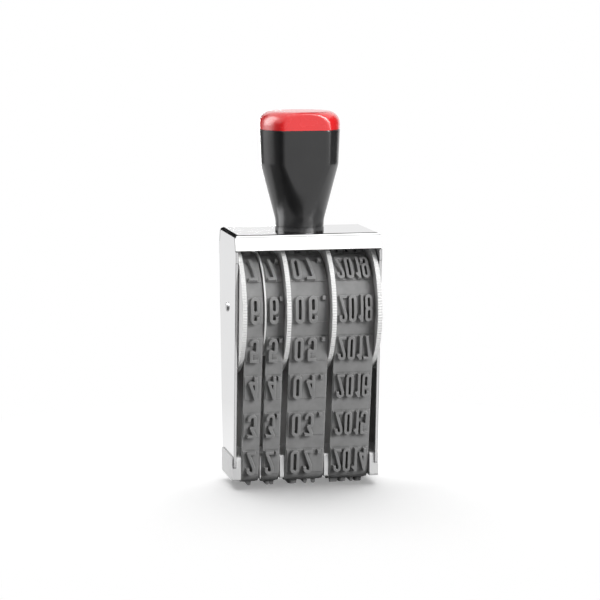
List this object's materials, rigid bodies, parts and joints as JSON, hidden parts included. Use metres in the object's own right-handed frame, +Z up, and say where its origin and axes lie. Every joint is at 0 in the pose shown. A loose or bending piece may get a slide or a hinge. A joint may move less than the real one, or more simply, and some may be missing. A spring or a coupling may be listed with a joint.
{
  "type": "date stamp",
  "caption": "Hand date stamp with a bent sheet frame, toothed thumb discs that turn endless rubber type bands on an axle, a comb foot and a black and red handle.",
  "frame": {"origin": "on the printing plane, under the middle of the axle", "axes": "+Z up along the handle, +X along the axle to the right seen from the front, +Y to the back"},
  "size_m": [0.0554, 0.049, 0.1387],
  "materials": {
    "bright_sheet": "bright plated sheet",
    "steel": "turned, plated",
    "wheel_plastic": "satin light grey",
    "foot_plastic": "satin light grey",
    "type_rubber": "matte grey",
    "handle_black": "gloss black",
    "handle_red": "gloss red"
  },
  "bodies": {
    "stamp": {"frame": "bright_sheet", "foot_bridge": "foot_plastic", "axle": "steel", "axle_washer_left": "steel", "axle_washer_right": "steel", "wheel_washer_inner": "steel", "wheel_washer_outer": "steel", "guide_disc": "wheel_plastic", "day_tens_band": "type_rubber", "day_units_band": "type_rubber", "month_band": "type_rubber", "year_band": "type_rubber", "handle_collar": "handle_black", "handle_grip": "handle_black", "handle_cap": "handle_red", "handle_screw": "steel", "screw_washer": "steel"},
    "day_tens_wheel": {"day_tens_drum": "wheel_plastic", "day_tens_thumb_disc": "wheel_plastic"},
    "day_units_wheel": {"day_units_drum": "wheel_plastic", "day_units_thumb_disc": "wheel_plastic"},
    "month_wheel": {"month_drum": "wheel_plastic", "month_thumb_disc": "wheel_plastic"},
    "year_wheel": {"year_drum": "wheel_plastic", "year_thumb_disc": "wheel_plastic"}
  },
  "joints": [
    {"name": "day_tens_turn", "type": "hinge", "parent": "stamp", "child": "day_tens_wheel", "pos_m": [0, 0, 0.0667], "axis": [1, 0, 0], "continuous": true},
    {"name": "day_units_turn", "type": "hinge", "parent": "stamp", "child": "day_units_wheel", "pos_m": [0, 0, 0.0667], "axis": [1, 0, 0], "continuous": true},
    {"name": "month_turn", "type": "hinge", "parent": "stamp", "child": "month_wheel", "pos_m": [0, 0, 0.0667], "axis": [1, 0, 0], "continuous": true},
    {"name": "year_turn", "type": "hinge", "parent": "stamp", "child": "year_wheel", "pos_m": [0, 0, 0.0667], "axis": [1, 0, 0], "continuous": true}
  ]
}
